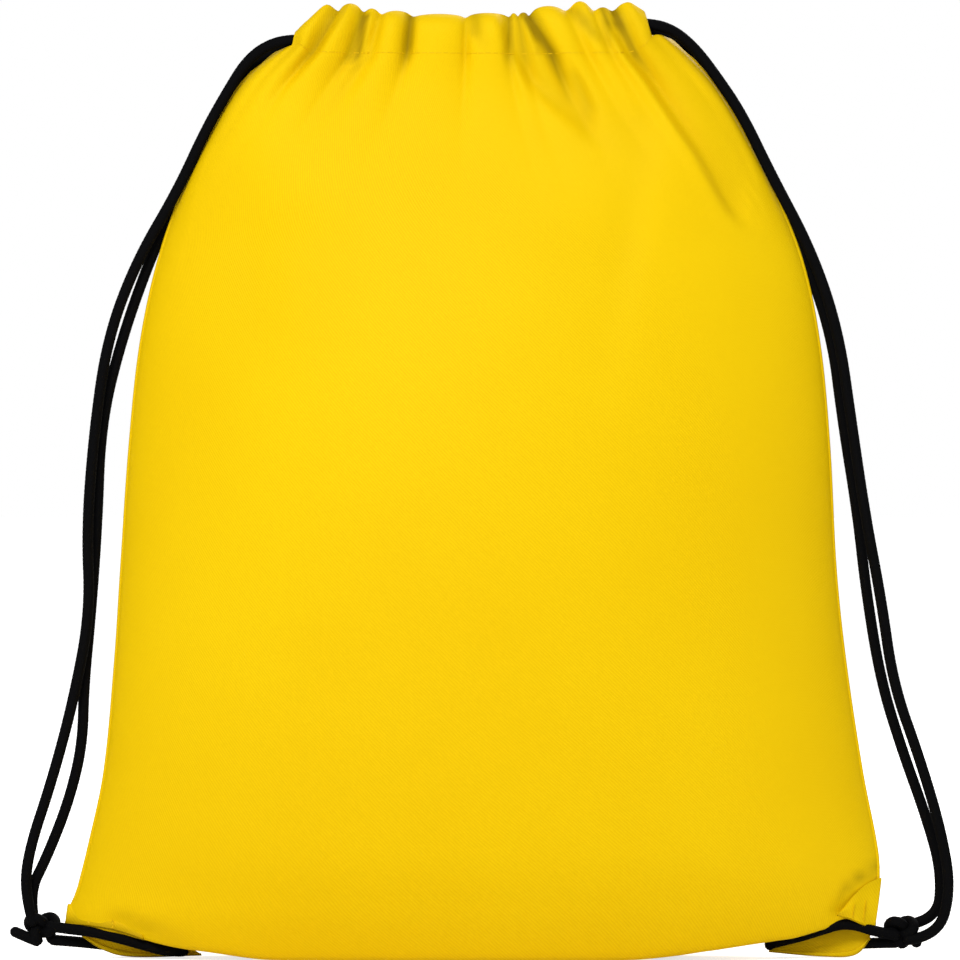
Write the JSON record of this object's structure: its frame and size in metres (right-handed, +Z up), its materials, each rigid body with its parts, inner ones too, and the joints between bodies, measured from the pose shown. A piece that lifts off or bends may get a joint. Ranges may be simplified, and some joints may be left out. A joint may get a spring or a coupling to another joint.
{
  "type": "drawstring backpack",
  "caption": "Soft woven drawstring backpack standing on its base, with a gathered mouth and braided cord straps knotted at the bottom corners.",
  "frame": {"origin": "on the floor, under the middle of the bag's base", "axes": "+Z up, front of the bag towards -Y, +X to the right of a viewer in front of it"},
  "size_m": [0.3907, 0.11, 0.394],
  "materials": {
    "panel_cloth": "woven polyester with a slight sheen",
    "tab_cloth": "woven polyester with a slight sheen",
    "thread": "polyester sewing thread",
    "cord": "braided polyester cord"
  },
  "bodies": {
    "bag": {"front_panel": "panel_cloth", "back_panel": "panel_cloth", "front_hem": "panel_cloth", "back_hem": "panel_cloth", "left_side_seam": "panel_cloth", "right_side_seam": "panel_cloth", "bottom_seam": "panel_cloth", "left_front_tab": "tab_cloth", "left_back_tab": "tab_cloth", "right_front_tab": "tab_cloth", "right_back_tab": "tab_cloth", "front_hem_stitching": "thread", "back_hem_stitching": "thread", "corner_bartacks": "thread", "left_tunnel_cord": "cord", "right_tunnel_cord": "cord", "left_corner_loop": "cord", "right_corner_loop": "cord"},
    "left_strap": {"left_strap_front": "cord", "left_strap_back": "cord", "left_knot": "cord"},
    "right_strap": {"right_strap_front": "cord", "right_strap_back": "cord", "right_knot": "cord"}
  },
  "joints": [
    {"name": "left_strap_swing", "type": "hinge", "parent": "bag", "child": "left_strap", "pos_m": [-0.096, 0, 0.367], "axis": [-0.2251, 0, -0.9743], "range_deg": [-60, 60]},
    {"name": "right_strap_swing", "type": "hinge", "parent": "bag", "child": "right_strap", "pos_m": [0.095, 0, 0.3725], "axis": [0.2244, 0, -0.9745], "range_deg": [-60, 60]}
  ]
}
